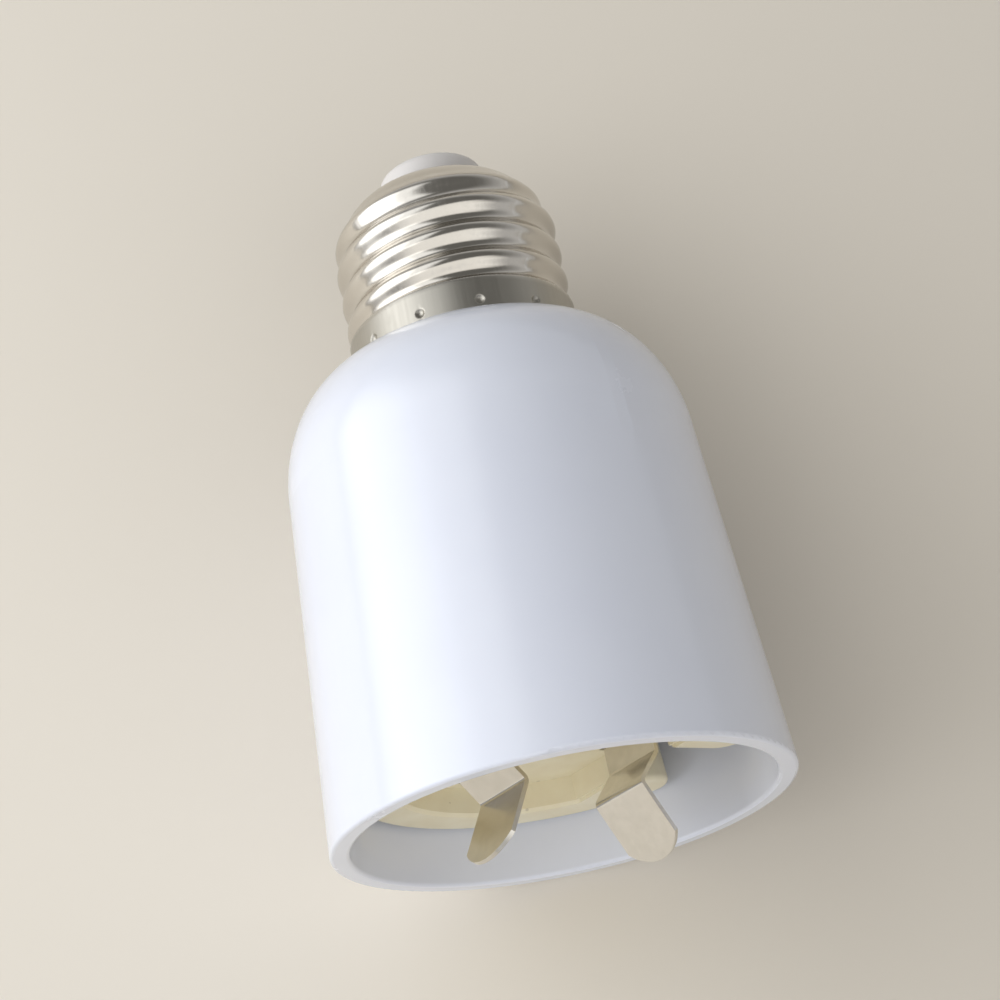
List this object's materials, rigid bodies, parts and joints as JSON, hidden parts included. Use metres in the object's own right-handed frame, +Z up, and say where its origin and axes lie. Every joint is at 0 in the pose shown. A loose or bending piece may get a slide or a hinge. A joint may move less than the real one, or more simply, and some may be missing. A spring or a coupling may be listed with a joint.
{
  "type": "lamp socket adapter",
  "caption": "Adapter that screws into a lamp socket: white bell housing with a round-thread metal cap at one end and a two-pin ceramic holder with spring clips in its mouth.",
  "frame": {"origin": "On the main axis at the seam where the metal cap's rim meets the housing's shoulder", "axes": "+Y along the main axis from the mouth towards the cap's centre contact, +Z up from the table the adapter lies on, +X to the right across both"},
  "size_m": [0.0508, 0.0856, 0.0508],
  "materials": {
    "white_housing": "glossy cool white moulded housing",
    "nickel_cap": "bright nickel plating with fine scratches",
    "contact_brass": "plain contact metal",
    "ivory_ceramic": "ivory glazed ceramic, slightly glossy",
    "spring_steel": "satin plated spring strip",
    "screw_steel": "plated steel",
    "wire_jacket": "pale soft heat-proof jacket",
    "woven_sleeve": "woven glass sleeve"
  },
  "bodies": {
    "adapter": {"housing": "white_housing", "cap_shell": "nickel_cap", "centre_contact": "contact_brass", "holder_body": "ivory_ceramic", "holder_back_plate": "ivory_ceramic", "clip_rivet_right": "screw_steel", "clip_rivet_left": "screw_steel", "pin_socket_live": "contact_brass", "pin_socket_neutral": "contact_brass", "socket_spring_live": "spring_steel", "socket_spring_neutral": "spring_steel", "wire_crimp_live": "contact_brass", "wire_crimp_neutral": "contact_brass", "lead_wire_live": "wire_jacket", "lead_wire_neutral": "wire_jacket", "heat_sleeve_live": "woven_sleeve", "heat_sleeve_neutral": "woven_sleeve", "holder_screw_lower": "screw_steel", "holder_screw_upper": "screw_steel", "lock_washer_lower": "screw_steel", "lock_washer_upper": "screw_steel"},
    "clip_right": {"retaining_clip_right": "spring_steel"},
    "clip_left": {"retaining_clip_left": "spring_steel"}
  },
  "joints": [
    {"name": "clip_right_spread", "type": "hinge", "parent": "adapter", "child": "clip_right", "pos_m": [0.00855, -0.0379, -0.00666], "axis": [0.628, 0, 0.7782], "range_deg": [0, 5], "stiffness_Nm_per_rad": 1},
    {"name": "clip_left_spread", "type": "hinge", "parent": "adapter", "child": "clip_left", "pos_m": [-0.00795, -0.0379, 0.00666], "axis": [-0.628, 0, -0.7782], "range_deg": [0, 5], "stiffness_Nm_per_rad": 1}
  ]
}
